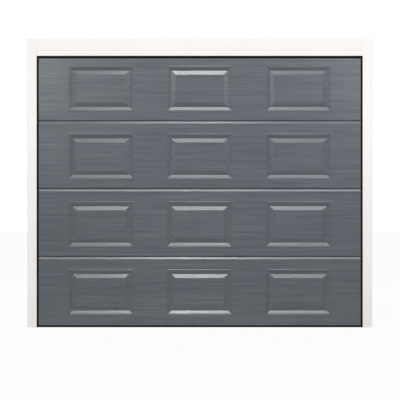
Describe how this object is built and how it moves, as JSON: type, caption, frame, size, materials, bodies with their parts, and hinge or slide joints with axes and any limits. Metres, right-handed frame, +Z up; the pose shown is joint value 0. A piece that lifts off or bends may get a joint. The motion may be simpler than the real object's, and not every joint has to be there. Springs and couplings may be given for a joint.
{
  "type": "sectional garage door",
  "caption": "Closed sectional overhead garage door with pressed raised panels, white posts and head, low-headroom tracks, rollers, hinges, lift cables and a rear torsion spring shaft.",
  "frame": {"origin": "on the left post's outward wall face at floor level, in the middle of the face's width", "axes": "+X to the right across the door as seen from outside, +Y into the garage, +Z up; the outward faces of the posts and head lie in the plane Y = 0"},
  "size_m": [2.536, 2.542, 2.125],
  "materials": {
    "frame_white": "warm white satin coating",
    "leaf_anthracite": "anthracite satin with a fine woodgrain",
    "seal_black": "matte",
    "galvanised_steel": "galvanised",
    "end_cap_steel": "galvanised",
    "roller_nylon": "nylon",
    "cable_steel": "stranded wire",
    "spring_steel": "oiled spring wire",
    "cast_aluminium": "cast",
    "shaft_steel": "bright drawn",
    "rail_aluminium": "mill"
  },
  "bodies": {
    "root": {"left_post": "frame_white", "right_post": "frame_white", "head_panel": "frame_white", "post_feet": "galvanised_steel", "left_side_seal": "seal_black", "right_side_seal": "seal_black", "head_seal": "seal_black", "section_1": "leaf_anthracite", "section_2": "leaf_anthracite", "section_3": "leaf_anthracite", "section_4": "leaf_anthracite", "end_caps": "end_cap_steel", "joint_seals": "seal_black", "bottom_rail": "rail_aluminium", "bottom_seal": "seal_black", "side_hinge_lower_leaves": "galvanised_steel", "side_hinge_upper_leaves": "galvanised_steel", "middle_hinge_lower_leaves": "galvanised_steel", "middle_hinge_upper_leaves": "galvanised_steel", "bottom_brackets": "galvanised_steel", "top_brackets": "galvanised_steel", "rollers": "roller_nylon", "left_vertical_track": "galvanised_steel", "right_vertical_track": "galvanised_steel", "curved_tracks": "galvanised_steel", "left_lower_rail": "galvanised_steel", "right_lower_rail": "galvanised_steel", "left_upper_rail": "galvanised_steel", "right_upper_rail": "galvanised_steel", "corner_plates": "galvanised_steel", "rail_end_stops": "seal_black", "rail_hangers": "galvanised_steel", "rear_plates": "galvanised_steel", "rear_crossbar": "galvanised_steel", "centre_bearing_bracket": "galvanised_steel", "torsion_shaft": "shaft_steel", "left_torsion_spring": "spring_steel", "right_torsion_spring": "spring_steel", "cable_pulleys": "roller_nylon", "cable_drums": "cast_aluminium", "winding_cones": "cast_aluminium", "left_lift_cable": "cable_steel", "right_lift_cable": "cable_steel"}
  },
  "joints": []
}
